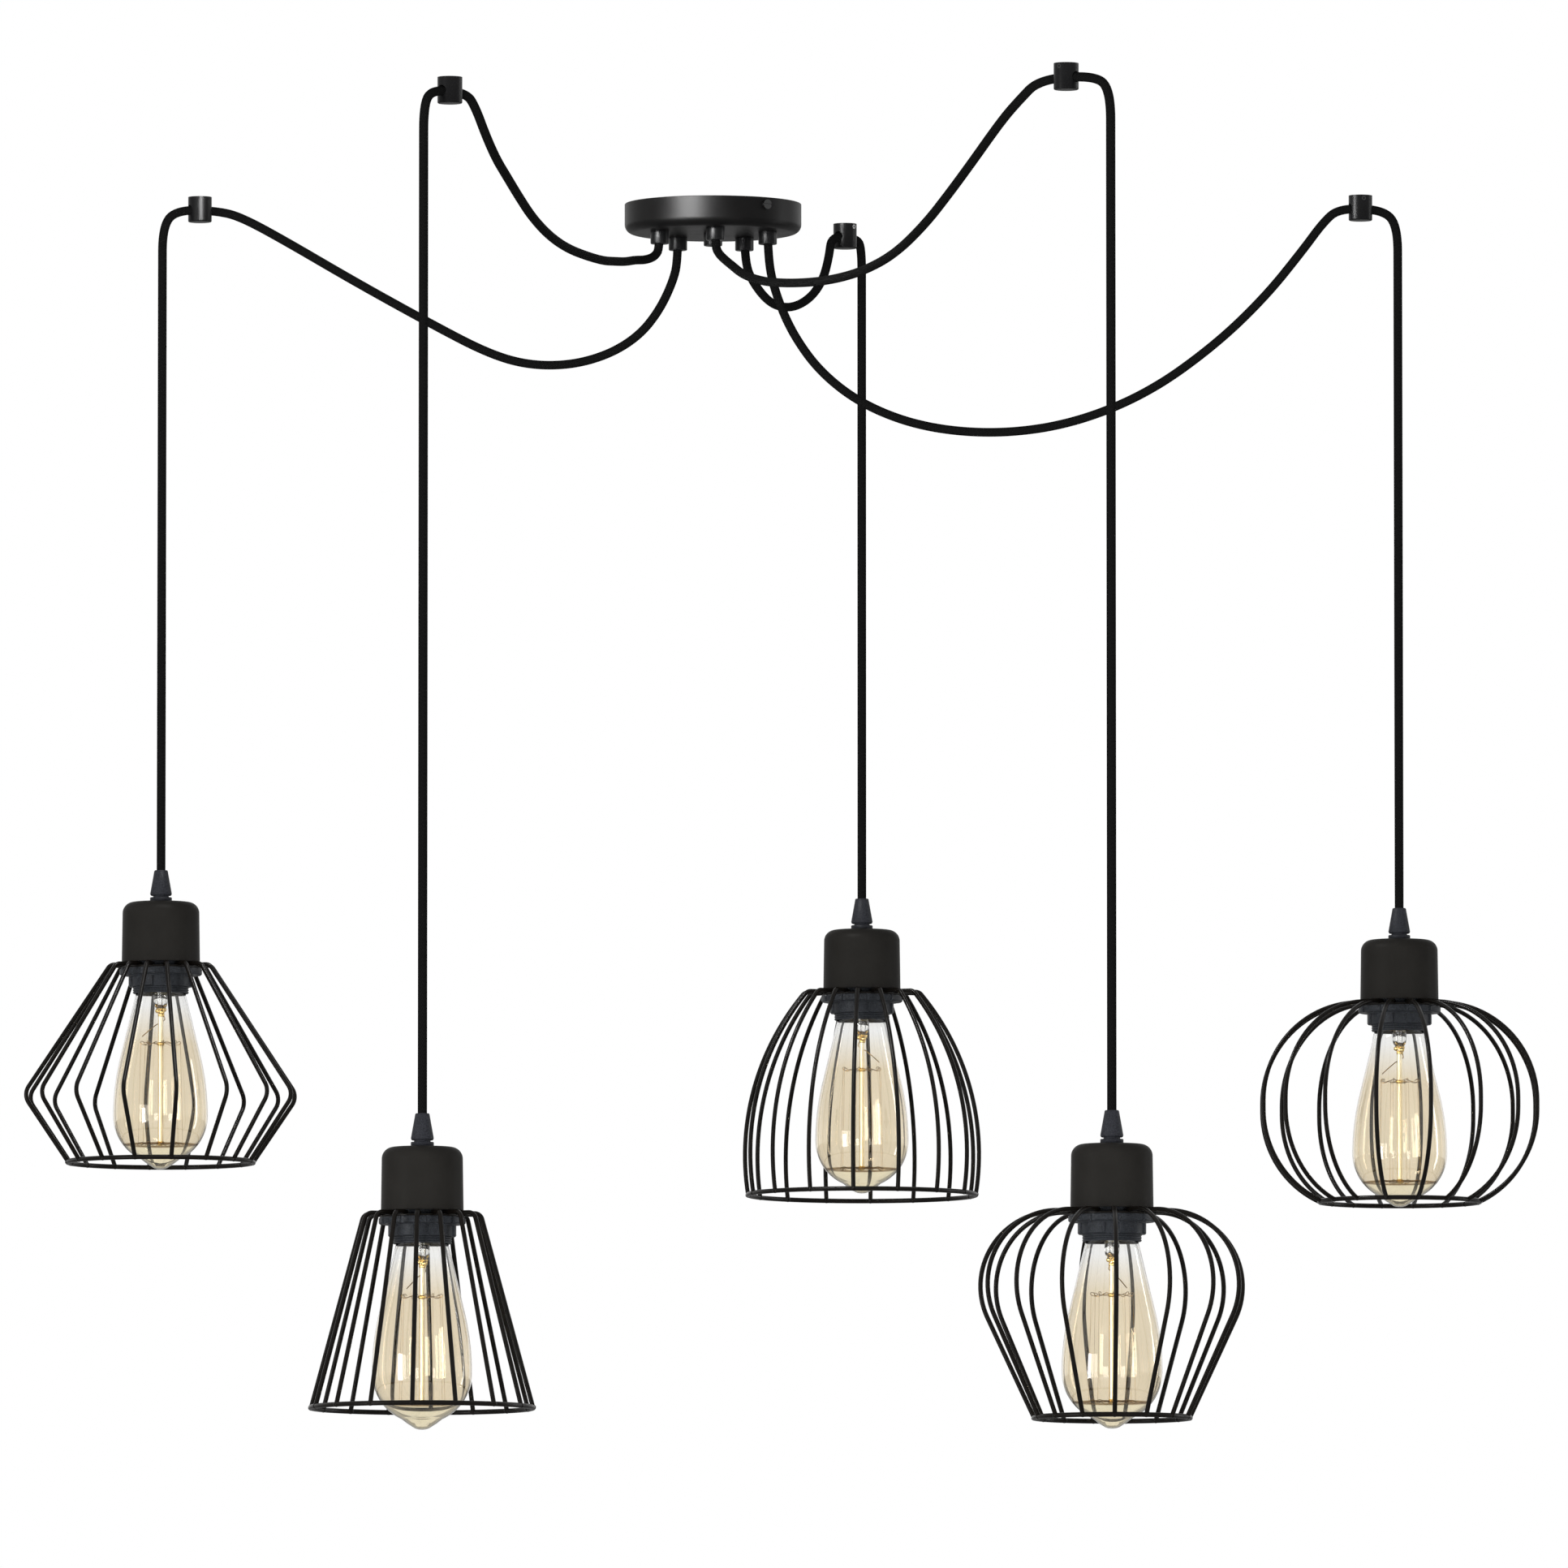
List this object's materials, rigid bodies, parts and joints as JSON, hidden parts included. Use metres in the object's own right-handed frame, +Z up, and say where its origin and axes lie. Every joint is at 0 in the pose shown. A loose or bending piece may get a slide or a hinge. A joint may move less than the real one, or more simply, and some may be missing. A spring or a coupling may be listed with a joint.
{
  "type": "pendant light",
  "caption": "Spider pendant light: a round ceiling canopy with swagged cords led through ceiling holders to wire-cage lamps with tinted bulbs.",
  "frame": {"origin": "centre of the canopy on the ceiling", "axes": "+Z up towards the ceiling, +X to the right in the picture, -Y towards the room's viewer"},
  "size_m": [1.0205, 1.2054, 0.8714],
  "materials": {
    "canopy_paint": "satin black paint",
    "bracket_steel": "zinc plated",
    "screw_black": "blackened",
    "block_plastic": "moulded",
    "conductor_sleeve": "smooth sleeve",
    "gland_plastic": "moulded, satin",
    "holder_paint": "gloss black",
    "cord_fabric": "braided textile sleeve",
    "grip_plastic": "fine grained",
    "cup_paint": "semi-gloss black",
    "socket_plastic": "fine grained",
    "cage_paint": "powder coated",
    "bulb_glass": "clear, amber tinted",
    "bulb_stem": "clear",
    "bulb_brass": "pressed"
  },
  "bodies": {
    "ceiling_set": {"canopy_cup": "canopy_paint", "mounting_bracket": "bracket_steel", "side_screws": "screw_black", "terminal_block": "block_plastic", "canopy_wiring": "conductor_sleeve", "cord_glands": "gland_plastic", "gland_nuts": "gland_plastic", "cord_holders": "holder_paint", "holder_bases": "bracket_steel", "holder_screws": "screw_black", "swag_cord_1": "cord_fabric", "swag_cord_2": "cord_fabric", "swag_cord_3": "cord_fabric", "swag_cord_4": "cord_fabric", "swag_cord_5": "cord_fabric"},
    "pendant_1": {"drop_cord_1": "cord_fabric"},
    "lamp_1": {"cord_grip_1": "grip_plastic", "cup_1": "cup_paint", "lampholder_1": "socket_plastic", "shade_ring_1": "socket_plastic", "cage_1": "cage_paint"},
    "bulb_1": {"bulb_glass_1": "bulb_glass", "bulb_mount_1": "bulb_stem", "bulb_cap_1": "bulb_brass"},
    "pendant_2": {"drop_cord_2": "cord_fabric"},
    "lamp_2": {"cord_grip_2": "grip_plastic", "cup_2": "cup_paint", "lampholder_2": "socket_plastic", "shade_ring_2": "socket_plastic", "cage_2": "cage_paint"},
    "bulb_2": {"bulb_glass_2": "bulb_glass", "bulb_mount_2": "bulb_stem", "bulb_cap_2": "bulb_brass"},
    "pendant_3": {"drop_cord_3": "cord_fabric"},
    "lamp_3": {"cord_grip_3": "grip_plastic", "cup_3": "cup_paint", "lampholder_3": "socket_plastic", "shade_ring_3": "socket_plastic", "cage_3": "cage_paint"},
    "bulb_3": {"bulb_glass_3": "bulb_glass", "bulb_mount_3": "bulb_stem", "bulb_cap_3": "bulb_brass"},
    "pendant_4": {"drop_cord_4": "cord_fabric"},
    "lamp_4": {"cord_grip_4": "grip_plastic", "cup_4": "cup_paint", "lampholder_4": "socket_plastic", "shade_ring_4": "socket_plastic", "cage_4": "cage_paint"},
    "bulb_4": {"bulb_glass_4": "bulb_glass", "bulb_mount_4": "bulb_stem", "bulb_cap_4": "bulb_brass"},
    "pendant_5": {"drop_cord_5": "cord_fabric"},
    "lamp_5": {"cord_grip_5": "grip_plastic", "cup_5": "cup_paint", "lampholder_5": "socket_plastic", "shade_ring_5": "socket_plastic", "cage_5": "cage_paint"},
    "bulb_5": {"bulb_glass_5": "bulb_glass", "bulb_mount_5": "bulb_stem", "bulb_cap_5": "bulb_brass"}
  },
  "joints": [
    {"name": "swing_1", "type": "hinge", "parent": "ceiling_set", "child": "pendant_1", "pos_m": [-0.347, -0.047, -0.009], "axis": [-0.9157, -0.4019, 0], "range_deg": [-15, 15]},
    {"name": "twist_1", "type": "hinge", "parent": "pendant_1", "child": "lamp_1", "pos_m": [-0.372, -0.05797, -0.47], "axis": [0, 0, 1], "range_deg": [-180, 180]},
    {"name": "unscrew_1", "type": "slide", "parent": "lamp_1", "child": "bulb_1", "axis": [0, 0, -1], "range_m": [0, 0.022]},
    {"name": "swing_2", "type": "hinge", "parent": "ceiling_set", "child": "pendant_2", "pos_m": [-0.166, -0.793, -0.009], "axis": [-0.6959, -0.7181, 0], "range_deg": [-15, 15]},
    {"name": "twist_2", "type": "hinge", "parent": "pendant_2", "child": "lamp_2", "pos_m": [-0.18249, -0.81002, -0.679], "axis": [0, 0, 1], "range_deg": [-180, 180]},
    {"name": "unscrew_2", "type": "slide", "parent": "lamp_2", "child": "bulb_2", "axis": [0, 0, -1], "range_m": [0, 0.022]},
    {"name": "swing_3", "type": "hinge", "parent": "ceiling_set", "child": "pendant_3", "pos_m": [0.09, 0.131, -0.009], "axis": [0.6347, 0.7727, 0], "range_deg": [-15, 15]},
    {"name": "twist_3", "type": "hinge", "parent": "pendant_3", "child": "lamp_3", "pos_m": [0.10149, 0.14499, -0.475], "axis": [0, 0, 1], "range_deg": [-180, 180]},
    {"name": "unscrew_3", "type": "slide", "parent": "lamp_3", "child": "bulb_3", "axis": [0, 0, -1], "range_m": [0, 0.022]},
    {"name": "swing_4", "type": "hinge", "parent": "ceiling_set", "child": "pendant_4", "pos_m": [0.228, -0.874, -0.009], "axis": [0.8141, -0.5807, 0], "range_deg": [-15, 15]},
    {"name": "twist_4", "type": "hinge", "parent": "pendant_4", "child": "lamp_4", "pos_m": [0.25601, -0.89398, -0.682], "axis": [0, 0, 1], "range_deg": [-180, 180]},
    {"name": "unscrew_4", "type": "slide", "parent": "lamp_4", "child": "bulb_4", "axis": [0, 0, -1], "range_m": [0, 0.022]},
    {"name": "swing_5", "type": "hinge", "parent": "ceiling_set", "child": "pendant_5", "pos_m": [0.438, -0.057, -0.009], "axis": [0.9636, 0.2672, 0], "range_deg": [-15, 15]},
    {"name": "twist_5", "type": "hinge", "parent": "pendant_5", "child": "lamp_5", "pos_m": [0.46334, -0.04997, -0.495], "axis": [0, 0, 1], "range_deg": [-180, 180]},
    {"name": "unscrew_5", "type": "slide", "parent": "lamp_5", "child": "bulb_5", "axis": [0, 0, -1], "range_m": [0, 0.022]}
  ]
}
